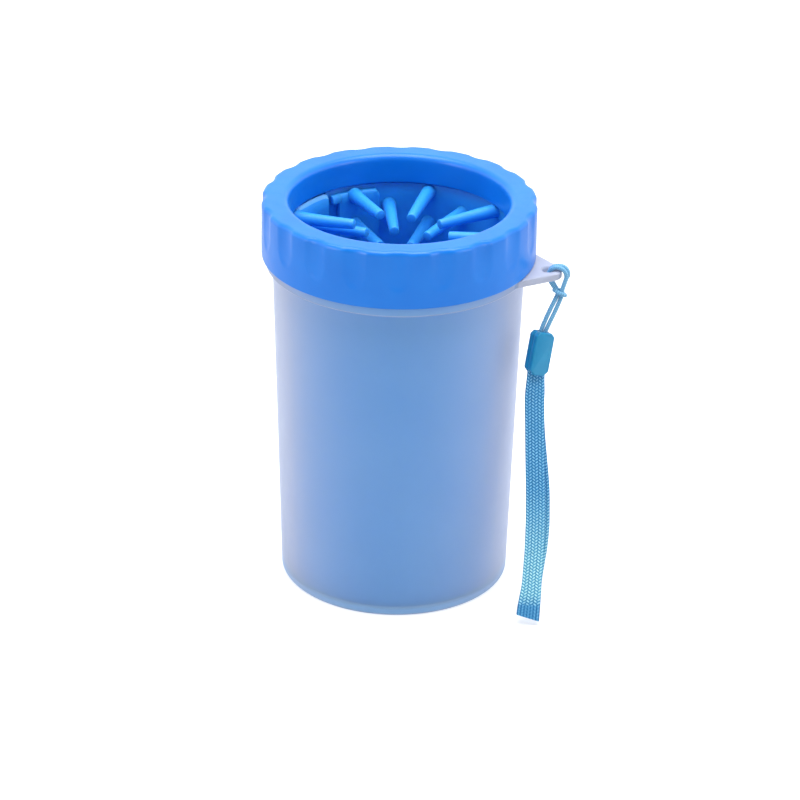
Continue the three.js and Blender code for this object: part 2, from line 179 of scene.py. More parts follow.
def fillet(rows, steps):
    """Rounds a closed outline. Each row is x (or radius), y (or height), corner radius."""
    rows = np.array(rows, float)
    out = []
    for before, row, after in zip(np.roll(rows, 1, 0), rows, np.roll(rows, -1, 0)):
        corner, radius = row[:2], row[2]
        if radius <= 0:
            out.append(corner)
            continue
        a, b = before[:2] - corner, after[:2] - corner
        length_a, length_b = np.linalg.norm(a), np.linalg.norm(b)
        a, b = a / length_a, b / length_b
        half = math.acos(max(-1.0, min(1.0, float(a @ b)))) / 2
        # the arc may use no more than 0.48 of either side
        cut = min(radius / math.tan(half), length_a * 0.48, length_b * 0.48)
        radius = cut * math.tan(half)
        centre = corner + (a + b) / np.linalg.norm(a + b) * (radius / math.sin(half))
        start, end = corner + a * cut - centre, corner + b * cut - centre
        first = math.atan2(start[1], start[0])
        turn = (math.atan2(end[1], end[0]) - first + math.pi) % TAU - math.pi
        for k in range(steps + 1):
            angle = first + turn * k / steps
            out.append(centre + radius * np.array([math.cos(angle), math.sin(angle)]))
    return np.array(out)


def densify(outline, pieces):
    """Cuts each side of a closed outline into pieces(start, end) equal parts."""
    out = []
    for start, end in zip(outline, np.roll(outline, -1, 0)):
        out.append(start)
        count = pieces(start, end)
        for k in range(1, count):
            out.append(start + (end - start) * k / count)
    return np.array(out)


def upright(radii, heights, step):
    """For densify: cuts sides within a span of radius and height into steps of height."""
    def pieces(start, end):
        low, high = sorted((start[1], end[1]))
        beside = radii[0] < (start[0] + end[0]) / 2 < radii[1]
        if beside and low < heights[1] and high > heights[0]:
            return int((high - low) / step)
        return 1
    return pieces


def around(outline, count):
    """Angle, radius and height of an outline's points at count steps about Z."""
    turns, index = np.meshgrid(
        np.arange(count) / count * TAU, np.arange(len(outline)), indexing="ij")
    return turns, outline[index, 0], outline[index, 1]


def from_polar(angle, radius, height):
    return np.stack([radius * np.cos(angle), radius * np.sin(angle), height], -1)


def prism(outline, z_start, z_end):
    """A bmesh of an [x, y] outline extruded along z."""
    bm = bmesh.new()
    face = bm.faces.new([bm.verts.new((x, y, z_start)) for x, y in outline])
    for part in bmesh.ops.extrude_face_region(bm, geom=[face])["geom"]:
        if isinstance(part, bmesh.types.BMVert):
            part.co.z = z_end
    bmesh.ops.recalc_face_normals(bm, faces=bm.faces)
    return bm


def bevel_edges(bm, wanted, **settings):
    edges = [edge for edge in bm.edges if wanted(*(v.co for v in edge.verts))]
    bmesh.ops.bevel(bm, geom=edges, profile=0.5, affect="EDGES", **settings)


# ---------------------------------------------------------------- shader building
def srgb(*channels):
    """Linear colour from 0-255 sRGB channels."""
    def linear(c):
        c /= 255.0
        return c / 12.92 if c <= 0.04045 else ((c + 0.055) / 1.055) ** 2.4
    return (*(linear(c) for c in channels), 1.0)


class Shader:
    """A node tree. Its methods take sockets or plain values and return sockets."""

    def __init__(self, tree):
        self.tree = tree

    def feed(self, node, inputs):
        for key, value in inputs.items():
            if isinstance(value, bpy.types.NodeSocket):
                self.tree.links.new(value, node.inputs[key])
            else:
                node.inputs[key].default_value = value

    def surface(self, inputs):
        self.feed(self.tree.nodes["Principled BSDF"], inputs)

    def node(self, kind, inputs=None, **settings):
        made = self.tree.nodes.new(kind)
        for key, value in settings.items():
            setattr(made, key, value)
        self.feed(made, inputs or {})
        return made

    def noise(self, scale, detail, roughness=0.5, stretch=None):
        vector = self.node("ShaderNodeTexCoord").outputs["Object"]
        if stretch:
            inputs = {"Scale": stretch, "Vector": vector}
            vector = self.node("ShaderNodeMapping", inputs).outputs["Vector"]
        return self.node("ShaderNodeTexNoise", {
            "Scale": scale, "Detail": detail, "Roughness": roughness, "Vector": vector,
        }).outputs["Fac"]

    def remap(self, value, source, to=(0.0, 1.0)):
        return self.node("ShaderNodeMapRange", {
            "From Min": source[0], "From Max": source[1],
            "To Min": to[0], "To Max": to[1], "Value": value,
        }).outputs["Result"]

    def mottle(self, source=(0.3, 0.7), to=(0.0, 1.0), **pattern):
        """Noise with its source range stretched to another."""
        return self.remap(self.noise(**pattern), source, to)

    def math(self, operation, *operands):
        return self.node(
            "ShaderNodeMath", dict(enumerate(operands)), operation=operation).outputs[0]

    def mix(self, factor, a, b):
        # inputs 0, 6 and 7 are the factor and the two colours
        return self.node("ShaderNodeMix", {0: factor, 6: a, 7: b}, data_type="RGBA").outputs[2]

    def ramp(self, value, stops):
        made = self.node("ShaderNodeValToRGB", {"Fac": value})
        elements = made.color_ramp.elements
        while len(elements) < len(stops):
            elements.new(0.5)
        for element, (position, color) in zip(elements, stops):
            element.position = position
            element.color = color
        return made.outputs["Color"]

    def pale_edges(self, color, pale, amount, pointiness=(0.52, 0.6)):
        """Lightens convex edges."""
        edge = self.node("ShaderNodeNewGeometry").outputs["Pointiness"]
        return self.mix(self.remap(edge, pointiness, to=(0.0, amount)), color, pale)

    def bump(self, height, strength, distance):
        return self.node("ShaderNodeBump", {
            "Strength": strength, "Distance": distance, "Height": height,
        }).outputs["Normal"]

    def attribute(self, name):
        return self.node("ShaderNodeAttribute", attribute_name=name).outputs["Fac"]

    def position(self, space):
        """The x, y and z outputs of a texture coordinate."""
        vector = self.node("ShaderNodeTexCoord").outputs[space]
        return self.node("ShaderNodeSeparateXYZ", {0: vector}).outputs


def material(name):
    made = bpy.data.materials.new(name)
    made.use_nodes = True
    return made, Shader(made.node_tree)


# ---------------------------------------------------------------- materials
def ring_material():
    made, s = material("ring_blue_plastic")
    color = s.mix(s.mottle(source=(0.35, 0.65), scale=60, detail=3),
                  srgb(2, 109, 205), srgb(8, 115, 210))
    color = s.pale_edges(color, srgb(118, 182, 255), amount=0.05, pointiness=(0.515, 0.57))
    s.surface({
        "Base Color": color,
        "Roughness": s.mottle(to=(0.29, 0.38), scale=220, detail=4, roughness=0.6),
        "Specular IOR Level": 0.38,
        "Subsurface Weight": 0.05,
        "Subsurface Radius": (0.2, 0.5, 1.0),
        "Subsurface Scale": 0.003,
        "Normal": s.bump(s.noise(scale=1500, detail=2), strength=0.06, distance=0.0004),
    })
    return made


def sleeve_material(name, painted_highlight):
    """Silicone; the second argument is how far its colour moves towards a paler blue, a painted
    highlight.
    """
    made, s = material(name)
    color = s.mix(s.mottle(scale=45, detail=3), srgb(30, 150, 236), srgb(42, 158, 241))
    color = s.pale_edges(color, srgb(98, 178, 250), amount=0.14)
    # painted highlight: the colour moves towards a paler blue by the given share
    color = s.mix(painted_highlight, color, srgb(120, 196, 255))
    s.surface({
        "Base Color": color,
        "Roughness": s.mottle(to=(0.42, 0.58), scale=300, detail=3, roughness=0.6),
        "Subsurface Weight": 0.25,
        "Subsurface Radius": (0.15, 0.5, 1.0),
        "Subsurface Scale": 0.004,
        "Sheen Weight": 0.04,
        "Sheen Roughness": 0.4,
        "Normal": s.bump(s.noise(scale=900, detail=3, roughness=0.6),
                         strength=0.08, distance=0.0004),
    })
    return made


CUP_HAZE = 0.46  # haze of the wall seen square on
GRAZING_COSINE = 0.03  # keeps the path through the wall finite at its outline
SHADOW_ALPHA = 0.35  # how much of the haze casts a shadow
LUG_SPAN = (0.0484, 0.0494)  # radius over which the flange turns into the lug


def cup_material():
    """Milky plastic: a ray sees more of its haze the longer its path through the wall."""
    made, s = material("cup_frosted_plastic")
    facing = s.node("ShaderNodeLayerWeight", {"Blend": 0.5}).outputs["Facing"]
    cosine = s.math("ADD", s.math("SUBTRACT", 1.0, facing), GRAZING_COSINE)
    clear = s.math("POWER", math.e, s.math("DIVIDE", -CUP_HAZE, cosine))
    alpha = s.math("SUBTRACT", 1.0, clear)
    cloud = s.mottle(to=(0.97, 1.03), scale=18, detail=2)
    # solid places look cloudier: the floor's rim, the flange and the lug
    x, y, z = s.position("Object")
    radius = s.math("SQRT", s.math("ADD", s.math("MULTIPLY", x, x), s.math("MULTIPLY", y, y)))
    foot = s.remap(z, source=(0.0024, 0.0062), to=(0.84, 0.0))
    lug = s.remap(radius, source=LUG_SPAN, to=(0.0, 0.86))
    flange = s.math("MULTIPLY", s.remap(z, source=(0.1240, 0.1250)),
                    s.remap(radius, source=(0.0462, 0.0478), to=(0.0, 0.62)))
    alpha = s.math("MULTIPLY", alpha, cloud)
    for solid in (foot, lug, flange):
        alpha = s.math("MAXIMUM", alpha, solid)
    shadow = s.node("ShaderNodeLightPath").outputs["Is Shadow Ray"]
    alpha = s.math("MULTIPLY", alpha, s.remap(shadow, source=(0, 1), to=(1.0, SHADOW_ALPHA)))
    # the haze is tinted blue: painted light of the blue sleeve glowing through the wall
    color = s.mix(s.mottle(scale=30, detail=2), srgb(128, 194, 254), srgb(136, 199, 255))
    # greyer where the wall turns away and on the lug, where the painted blue light fades; bluer
    # at the foot, a painted tint against the shade that greys it there
    color = s.mix(s.remap(facing, source=(0.0, 0.62)), color, srgb(184, 194, 220))
    color = s.mix(s.remap(radius, source=LUG_SPAN), color, srgb(182, 188, 208))
    color = s.mix(s.remap(foot, source=(0.0, 0.84), to=(0.0, 0.35)), color, srgb(132, 190, 244))
    s.surface({
        "Alpha": alpha,
        "Base Color": color,
        "Specular IOR Level": 0.35,
        "Roughness": s.mottle(to=(0.34, 0.46), scale=240, detail=3, roughness=0.6),
        "Normal": s.bump(s.noise(scale=1100, detail=3, roughness=0.6),
                         strength=0.07, distance=0.0003),
    })
    return made


def gasket_material():
    made, s = material("gasket_rubber")
    s.surface({
        "Base Color": s.mix(s.mottle(scale=80, detail=3),
                            srgb(224, 228, 236), srgb(236, 239, 245)),
        "Roughness": s.mottle(to=(0.5, 0.68), scale=400, detail=3),
        "Normal": s.bump(s.noise(scale=1200, detail=2), strength=0.08, distance=0.0003),
    })
    return made


def cord_material():
    made, s = material("cord_braid")
    # painted shade and highlights: the braid's low places are coloured dark as shade, its
    # crests light as highlights
    color = s.ramp(s.attribute("weave"), [
        (0.0, srgb(30, 98, 148)), (0.4, srgb(92, 162, 206)), (1.0, srgb(160, 212, 238))])
    color = s.mix(s.mottle(to=(0.0, 0.35), scale=900, detail=3), color, srgb(112, 180, 220))
    s.surface({
        "Base Color": color,
        "Roughness": s.mottle(to=(0.5, 0.7), scale=700, detail=2),
        "Sheen Weight": 0.3,
        "Normal": s.bump(s.noise(scale=5000, detail=2, stretch=(1, 1, 0.3)),
                         strength=0.2, distance=0.0002),
    })
    return made


def clamp_material():
    made, s = material("clamp_teal_plastic")
    color = s.mix(s.mottle(scale=130, detail=3), srgb(14, 132, 182), srgb(22, 144, 192))
    s.surface({
        "Base Color": s.pale_edges(color, srgb(72, 164, 206), amount=0.3),
        "Roughness": s.mottle(to=(0.3, 0.42), scale=400, detail=3),
        "Subsurface Weight": 0.1,
        "Subsurface Scale": 0.002,
        "Normal": s.bump(s.noise(scale=2200, detail=2), strength=0.08, distance=0.0002),
    })
    return made


def strap_material():
    made, s = material("strap_webbing")
    weave = s.attribute("weave")
    # painted shade and highlights: the weave's low places are coloured dark as shade and its
    # raised stitches light as highlights, here and in the paler ramp below
    color = s.ramp(weave, [
        (0.0, srgb(16, 88, 150)), (0.3, srgb(54, 140, 200)),
        (0.7, srgb(118, 196, 236)), (1.0, srgb(160, 222, 246))])
    color = s.mix(s.mottle(source=(0.35, 0.65), to=(0.0, 0.3), scale=260, detail=3),
                  color, srgb(60, 146, 200))
    # the lower half of the loop is paler, down to the stitched end
    pale = s.ramp(weave, [
        (0.0, srgb(48, 134, 184)), (0.35, srgb(118, 202, 230)),
        (0.7, srgb(182, 242, 250)), (1.0, srgb(214, 250, 254))])
    along = s.attribute("along")
    lower = s.math("MINIMUM", s.remap(along, source=(0.48, 0.78), to=(0.0, 0.9)),
                   s.remap(along, source=(0.905, 0.955), to=(0.9, 0.0)))
    s.surface({
        "Base Color": s.mix(lower, color, pale),
        "Roughness": s.remap(weave, source=(0.0, 1.0), to=(0.85, 0.5)),
        "Sheen Weight": 0.35,
        "Sheen Roughness": 0.35,
        "Normal": s.bump(s.noise(scale=6000, detail=2, stretch=(1, 0.25, 0.25)),
                         strength=0.25, distance=0.0002),
    })
    return made


# ---------------------------------------------------------------- thread
PITCH, TURNS, THREAD_DEPTH = 5.0, 1.5, 1.0
THREAD_Z = 133.0  # where the cup's thread starts


def thread(angle, z, z_start):
    """Height from 0 to 1 of a helical ridge at an angle and a height z."""
    best = np.zeros_like(z)
    for k in (0, 1):
        turn = angle / TAU + k
        ridge = clamp01((1.3 - np.abs(z - (z_start + PITCH * turn))) / 0.6)
        ridge = ridge * ridge * (3 - 2 * ridge)
        fade = clamp01(np.minimum(turn, TURNS - turn) / 0.06)
        best = np.maximum(best, np.where(turn <= TURNS, ridge * fade, 0.0))
    return best


# ---------------------------------------------------------------- screw ring
RING_R, RING_THREAD_R = 50.0, 46.95
RING_OPENING_R, RING_UNDERSIDE_R = 40.0, 42.8
RING_TOP, RING_FOOT, RING_LIP, RING_CEILING = 150.0, 128.4, 139.0, 147.2
RING_OUTLINE = [  # radius, height, corner radius
    (RING_OPENING_R, RING_LIP, 0.5), (RING_OPENING_R, RING_TOP, 2.3),
    (RING_R, RING_TOP, 1.6), (RING_R, RING_FOOT, 0.4),
    (RING_THREAD_R, RING_FOOT, 0.4), (RING_THREAD_R, RING_CEILING, 0.8),
    (RING_UNDERSIDE_R, RING_CEILING, 0.5), (RING_UNDERSIDE_R, RING_LIP, 0.4),
]
SCOOPS, SCOOP_FOOT, SCOOP_HALF_WIDTH = 20, 134.2, 4.3


def scoop_depth(angle, radius, z):
    """Scoops round the outside: deepest at the top, even in width, with a round lower end."""
    rise = z - SCOOP_FOOT
    arc = RING_R * (((angle * SCOOPS / TAU + 0.5) % 1.0) - 0.5) * TAU / SCOOPS
    half = SCOOP_HALF_WIDTH * np.sqrt(clamp01(rise / 5.5)) + 1e-6
    depth = (0.22 + 0.76 * clamp01(rise / 15.0)) * clamp01(1 - (arc / half) ** 2)
    depth *= smooth(SCOOP_FOOT, 137.0, z)
    return depth * smooth(45.6, 48.6, radius)


def build_ring():
    def top_pieces(start, end):
        level = min(start[1], end[1]) > RING_TOP - 0.1
        return 8 if level and abs(end[0] - start[0]) > 2 else 1

    outline = fillet(RING_OUTLINE, 6)
    for pieces in (upright(radii=(46.5, 47.4), heights=(129, 146.5), step=0.22),
                   upright(radii=(49.6, math.inf), heights=(128, 149), step=0.55),
                   upright(radii=(0, 40.3), heights=(139, 148), step=1.5),
                   top_pieces):
        outline = densify(outline, pieces)
    angle, radius, z = around(outline, 400)
    threaded = (np.abs(radius - RING_THREAD_R) < 0.02) & (z > 129.2) & (z < 146.0)
    radius -= scoop_depth(angle, radius, z)
    ridge = THREAD_DEPTH * thread(angle, z, THREAD_Z - PITCH / 2)
    radius -= np.where(threaded, ridge, 0.0)
    shell = grid(from_polar(angle, radius, z), close_u=True)
    ob = tidy(object_from_grid("ring_shell", *shell), 40)
    deliver(ob, [ring_material()], "screw_ring", "ring")


# ---------------------------------------------------------------- gasket
GASKET_OUTLINE = [  # radius, height, corner radius
    (43.4, 144.9, 0.5), (46.4, 144.9, 0.5), (46.4, 146.9, 0.7), (43.4, 146.9, 0.7),
]


def build_gasket():
    points = from_polar(*around(fillet(GASKET_OUTLINE, 5), 180))
    ob = tidy(object_from_grid("gasket_ring", *grid(points, close_u=True)), 60)
    deliver(ob, [gasket_material()], "rim_gasket", "gasket")


# ---------------------------------------------------------------- cup
CUP_SEGMENTS = 240
FLOOR_TOP, FLANGE_TOP, NECK_R = 2.5, 128.1, 45.5
CUP_OUTLINE = [  # radius, height, corner radius; up the outside and down the inside
    (0, 0.0, 0), (37.5, 0.0, 0), (42.55, 0.0, 1.2), (46.0, 124.2, 1.2),
    (48.5, 124.9, 0.7), (48.5, FLANGE_TOP, 0.5), (NECK_R, FLANGE_TOP, 0.3),
    (NECK_R, 144.6, 0.6), (43.8, 144.6, 0.5), (43.8, 126.0, 8.0),
    (40.8, FLOOR_TOP, 1.0), (0, FLOOR_TOP, 0),
]

# The lug is drawn along +X and then turned to its azimuth.
LUG_AZIMUTH = math.radians(-13)
LUG_BOTTOM = 125.3
LUG_TIP_R, LUG_TIP_SWEEP = 5.0, 50  # the tip's arc about the hole, each side of +X
LUG_ROOT_X = 49.0  # where the straight flank starts to curve into the flange
HOLE_X = 55.5
HOLE_PROFILE = [  # radius, height: a waisted spool, so the rim of the hole is rounded
    (3.4, 123.0), (2.95, 125.2), (2.45, 125.6), (2.2, 126.1),
    (2.2, 127.2), (2.45, 127.75), (2.95, 128.2), (3.4, 129.5),
]


def build_cup_wall():
    outline = fillet(CUP_OUTLINE, 5)
    for pieces in (upright(radii=(45.2, 45.7), heights=(129, 143.6), step=0.22),
                   upright(radii=(42.0, math.inf), heights=(2, 123), step=6.0)):
        outline = densify(outline, pieces)
    body = outline[1:-1]
    angle, radius, z = around(body, CUP_SEGMENTS)
    neck = (np.abs(radius - NECK_R) < 0.02) & (z > 128.9) & (z < 143.8)
    radius += np.where(neck, THREAD_DEPTH * thread(angle, z, THREAD_Z), 0.0)
    verts, faces = grid(from_polar(angle, radius, z), close_u=True, close_v=False)
    # the floor's two sides are fans about the axis
    verts = np.vstack([verts, [[0, 0, 0.0]], [[0, 0, FLOOR_TOP]]])
    below, above = len(verts) - 2, len(verts) - 1
    m = len(body)
    for i in range(CUP_SEGMENTS):
        j = (i + 1) % CUP_SEGMENTS
        faces.append((i * m, j * m, below))
        faces.append((j * m + m - 1, i * m + m - 1, above))
    return tidy(object_from_grid("cup_shell", verts, faces), 40)


def lug_outline():
    """A tapering tongue with a round tip and concave runs into the flange."""
    sweep = math.radians(LUG_TIP_SWEEP)
    side = []
    for i in range(9):
        a = sweep * i / 8
        side.append((HOLE_X + LUG_TIP_R * math.cos(a), LUG_TIP_R * math.sin(a)))
    tip_end = np.array(side[-1])
    slope = math.tan(math.radians(90 - LUG_TIP_SWEEP))
    root = np.array([LUG_ROOT_X, tip_end[1] + (tip_end[0] - LUG_ROOT_X) * slope])
    side.append(tuple(tip_end * 0.5 + root * 0.5))
    bend, end = np.array([47.6, 13.0]), np.array([45.6, 15.5])
    for i in range(9):
        t = i / 8
        side.append(tuple((1 - t) ** 2 * root + 2 * t * (1 - t) * bend + t * t * end))
    side.append((44.7, 15.2))
    return side + [(x, -y) for x, y in side[::-1] if y > 1e-6]


def build_hole_cutter():
    sides, m = 40, len(HOLE_PROFILE)
    verts, faces = [], []
    for i in range(sides):
        a, j = i / sides * TAU, (i + 1) % sides
        for r, z in HOLE_PROFILE:
            verts.append((HOLE_X + r * math.cos(a), r * math.sin(a), z))
        for k in range(m - 1):
            faces.append((i * m + k, j * m + k, j * m + k + 1, i * m + k + 1))
    faces.append(tuple(i * m for i in range(sides))[::-1])
    faces.append(tuple(i * m + m - 1 for i in range(sides)))
    cutter = object_from_grid("hole_cutter", verts, faces)
    # back to millimetres, in which the lug is still drawn
    cutter.data.transform(Matrix.Scale(1 / MM, 4))
    return tidy(cutter, 180)


def build_lug():
    bm = prism(lug_outline(), LUG_BOTTOM, FLANGE_TOP)
    bevel_edges(bm, lambda a, b: abs(a.z - b.z) < 1e-6 and min(a.x, b.x) > 46.2,
                offset=0.55, segments=3)
    lug = object_from_bmesh("lug", bm)
    boolean(lug, build_hole_cutter(), "DIFFERENCE")
    lug.data.transform(Matrix.Rotation(LUG_AZIMUTH, 4, "Z") @ Matrix.Scale(MM, 4))
    return lug


def build_cup():
    cup = build_cup_wall()
    boolean(cup, build_lug(), "UNION")
    tidy(cup, 40, merge=0.002)
    deliver(cup, [cup_material()], "cup_body", "cup")


# ---------------------------------------------------------------- bristle sleeve
# A sheet rolled once round inside the cup. Its loose end, from azimuth 132 to 165, is
# set in from the wall. A pad and a tab thicken the sheet just short of it.
MAT, MAT_Z0, MAT_Z1, KNEE = 2.0, 2.9, 138.4, 123.3
MAT_LEVELS = [12, 24, 36, 48, 60, 72, 84, 96, 108, 116, KNEE, 128, 133]
PAD = 2.4  # how far the pad stands in from the sheet
PAD_START, PAD_TOP = 101.2, 136.75
TAB_OUTLINE = [  # offset from the sheet's inner face, height
    (-PAD - 0.25, 133.6), (-PAD - 0.25, 136.2), (-PAD + 0.35, 136.9),
    (-0.5, 136.9), (-0.5, 133.6),
]


def mat_outer(z):
    """Radius of the sheet's outer face: it widens up to the knee."""
    return 40.3 + 3.1 * clamp01((np.asarray(z, float) - MAT_Z0) / (KNEE - MAT_Z0))


def mat_inner(z):
    return mat_outer(z) - MAT


def inset(azimuth):
    """The factor on the radius that draws the loose end inwards."""
    a = np.where(np.asarray(azimuth) < 0, np.asarray(azimuth) + 360.0, azimuth)
    offset = 1.95 * smooth(165.0, 151.0, a) + 0.15 * clamp01((152.0 - a) / 20.0)
    return 1 - np.where((a > 165) | (a < 131.95), 0.0, offset) / 41.4


def mat_section(top, bottom, inner, outer, drop, run):
    """(r, z) up the inner face and down the outer, with the inner top edge cut off."""
    z = np.array([bottom, *MAT_LEVELS])
    z = np.append(z[z < top - 1.5], top)
    r_in, r_out = inner(z), outer(z)
    up = list(zip(r_in, z))[:-1]
    cut = [(r_in[-1], top - drop), (r_in[-1] + run, top)]
    return up + cut + list(zip(r_out[::-1], z[::-1]))


def swept(name, azimuths, section, bevel):
    """Sweeps section(azimuth), a closed outline of (r, z), and bevels its edges."""
    rings = []
    for azimuth in azimuths:
        c, s = math.cos(math.radians(azimuth)), math.sin(math.radians(azimuth))
        rings.append([(r * c, r * s, z) for r, z in section(azimuth)])
    ob = tidy(object_from_grid(name, *grid(np.array(rings), cap=True)), 40)
    modifier = ob.modifiers.new("bevel", "BEVEL")
    modifier.width = bevel * MM
    modifier.segments = 3
    modifier.limit_method = "ANGLE"
    modifier.angle_limit = math.radians(50)
    apply_modifiers(ob)
    return tidy(ob, 45)


def build_sheet():
    def section(azimuth):
        top = MAT_Z1 - 0.8 * clamp01((-226.0 - azimuth) / 2.0)
        scale = inset(azimuth)
        # the loose end has a wide bevel along the top
        width = smooth(-190, -200, azimuth) * 1.2 + 0.05
        return mat_section(top, MAT_Z0, lambda z: mat_inner(z) * scale,
                           lambda z: mat_outer(z) * scale, drop=width, run=width * 0.85)

    azimuths = [-228.0, -227.2, -226.0, *np.arange(-224.0, 125.9, 2.0)]
    azimuths += [126.0, 128.0, 130.0, 131.9]
    sheet = swept("sheet", azimuths, section, 0.28)
    # that bevel takes the paler material: a painted highlight on a face the ring's skirt shades
    for face in sheet.data.polygons:
        centre = face.center / MM
        if centre.z > 136.9 and math.hypot(centre.x, centre.y) < 40.5:
            face.material_index = 1
    return sheet


def build_fold():
    """The thin fold between the loose end and the cup's wall."""
    def section(azimuth):
        z = np.array([100.0, 112.0, KNEE, 130.0, 138.3])
        outer = mat_outer(z)
        inner = outer - 1.0 - 0.25 * smooth(165, 150, azimuth)
        shift = 0.5 * smooth(133.0, 129.0, azimuth)
        return list(zip(inner - shift, z)) + list(zip(outer[::-1] - shift, z[::-1]))

    return swept("fold", np.arange(129.0, 163.1, 2.0), section, 0.15)


def build_pad():
    def section(azimuth):
        top = PAD_TOP - 1.75 + 1.75 * clamp01((azimuth - PAD_START) / 1.8)
        return mat_section(top, 3.3, lambda z: mat_inner(z) - PAD,
                           lambda z: mat_inner(z) + 0.35, drop=0.75, run=0.6)

    azimuths = [PAD_START, 102.0, 103.0, 105, 108, 112, 116, 120, 124.8]
    return swept("pad", azimuths, section, 0.28)


def build_tab():
    def section(azimuth):
        # the lower edge rises at the far end
        rise = 0.55 * smooth(128.9, 129.6, azimuth)
        return [(mat_inner(z) + offset, z + (rise if z < 134 else 0.0))
                for offset, z in TAB_OUTLINE]

    return swept("tab", [123.6, 125, 126.5, 128, 129.1, 129.6], section, 0.35)


BRISTLE_SIDES = 16
BRISTLE_RINGS = [  # share of the length, radius: a flared root, a taper and a bevelled tip
    (-0.03, 2.85), (0.0, 2.85), (0.012, 2.72), (0.03, 2.62), (0.055, 2.57),
    *((t, 2.57 + (1.84 - 2.57) * t) for t in (0.2, 0.35, 0.5, 0.65, 0.8, 0.92)),
    (0.99, 1.81), (0.997, 1.72), (1.0, 1.58),
]
ROWS, ROW_TOP, ROW_PITCH = 20, 136.1, 6.55
AZIMUTHS_EVEN = [-8.0, 31.0, 74.8, 115.5, 159.9, 197.7, 235.4, 273.1, 310.8]
AZIMUTHS_ODD = [9.8, 55.7, 95.6, 148.0, 178.9, 216.5, 254.0, 292.0, 329.7]
# The bristles that show through the mouth:
# (row, azimuth) -> base height, tip radius, tip azimuth, tip height.
SEEN = {
    (0, 159.9): (135.3, 17.4, 160.0, 136.5), (0, 115.5): (135.5, 15.9, 115.5, 136.7),
    (0, 74.8): (135.7, 15.2, 73.4, 135.4), (0, 31.0): (136.2, 17.1, 31.0, 135.7),
    (0, -8.0): (136.2, 18.2, -8.0, 136.0), (1, 148.0): (130.2, 14.9, 142.5, 131.8),
    (1, 95.6): (129.6, 16.2, 96.3, 129.5), (1, 55.7): (129.4, 16.6, 52.2, 128.9),
    (1, 9.8): (129.6, 17.0, 9.8, 128.4), (2, 74.8): (123.0, 15.9, 74.2, 123.8),
    (2, 115.5): (123.9, 16.0, 115.5, 124.4), (3, 95.6): (110.8, 16.0, 95.6, 109.4),
    (0, 197.7): (134.6, 16.6, 197.7, 133.0),
}


def bristle(base, tip):
    """A tapering round bristle that leaves the wall squarely and ends in a flat tip."""
    inward = -np.array([base[0], base[1], 0.0])
    inward /= np.linalg.norm(inward)
    length = np.linalg.norm(tip - base)
    middle = 0.5 * (base + inward * length * 0.5) + 0.5 * (base + tip) * 0.5
    rings = []
    for t, radius in BRISTLE_RINGS:
        centre = (1 - t) ** 2 * base + 2 * t * (1 - t) * middle + t * t * tip
        ahead = 2 * (1 - t) * (middle - base) + 2 * t * (tip - middle)
        ahead /= np.linalg.norm(ahead)
        side = np.cross(ahead, [0, 0, 1.0])
        side /= np.linalg.norm(side)
        up = np.cross(side, ahead)
        angles = [i / BRISTLE_SIDES * TAU for i in range(BRISTLE_SIDES)]
        rings.append([centre + radius * (side * math.cos(a) + up * math.sin(a))
                      for a in angles])
    return grid(np.array(rings), cap=True)


def polar_point(radius, azimuth, z):
    a = math.radians(azimuth)
    return np.array([radius * math.cos(a), radius * math.sin(a), z])


def build_bristles():
    bristles = []
    for row in range(ROWS):
        for azimuth in (AZIMUTHS_ODD if row % 2 else AZIMUTHS_EVEN):
            if (row, azimuth) in SEEN:
                z, *tip = SEEN[(row, azimuth)]
            else:
                z = ROW_TOP - ROW_PITCH * row
                tip = (16.3 + 1.3 * (hash01(row, azimuth) - 0.5),
                       azimuth + 2.4 * (hash01(azimuth, row, 7) - 0.5),
                       z - 0.9 - 1.2 * hash01(azimuth, row, 3))
            wall = mat_inner(z) - (PAD if 101 < azimuth < 125 else 0.0)
            if 131 < azimuth < 166:
                wall *= inset(azimuth)
            bristles.append(bristle(polar_point(wall, azimuth, z), polar_point(*tip)))
    return tidy(object_from_grid("bristles", *joined(bristles)), 50)


def build_sleeve():
    bm = bmesh.new()
    for build_part in (build_sheet, build_fold, build_pad, build_tab, build_bristles):
        part = build_part()
        bm.from_mesh(part.data)
        bpy.data.objects.remove(part)
    ob = object_from_bmesh("bristle_lining", bm, mesh_name="bristle_sleeve")
    # the second material is the first with a painted highlight, for the top bevel of the
    # sheet's loose end
    materials = [sleeve_material("sleeve_blue_silicone", painted_highlight=0.0),
                 sleeve_material("sleeve_blue_silicone_painted_highlight", painted_highlight=0.7)]
    deliver(ob, materials, "bristle_sleeve", "cup")


# ---------------------------------------------------------------- lanyard frame
# The lanyard hangs in a plane through LINK that leans towards -Y going down.
LEAN = math.asin(0.26181)
OUT = np.array([math.cos(LUG_AZIMUTH), math.sin(LUG_AZIMUTH), 0.0])
TANGENT = np.array([-math.sin(LUG_AZIMUTH), math.cos(LUG_AZIMUTH), 0.0])
LINK = OUT * 59.1 + np.array([0, 0, 126.25])
ACROSS = np.array([1.0, 0, 0])
UPWARD = np.array([0, math.sin(LEAN), math.cos(LEAN)])
FORWARD = np.array([0, -math.cos(LEAN), math.sin(LEAN)])

# Places on the lanyard are (x across, s down from LINK).
KNOT = (0.91, 6.2)
CLAMP_TOP = (-4.8, 20.8)
CLAMP_TILT = math.radians(9.0)
CLAMP_DOWN = np.array([-math.sin(CLAMP_TILT), math.cos(CLAMP_TILT)])


def hang(x, s, forward=0.0):
    return LINK + ACROSS * x - UPWARD * s + FORWARD * forward


# ---------------------------------------------------------------- cord
CORD_R, RING_CORD_R, CORD_SIDES = 0.8, 0.74, 16
CORD_STEP, BRAID_LENGTH = 0.22, 2.6
LOOP_R = 3.3  # the loop through the lug's hole
KNOT_POINT = hang(*KNOT)


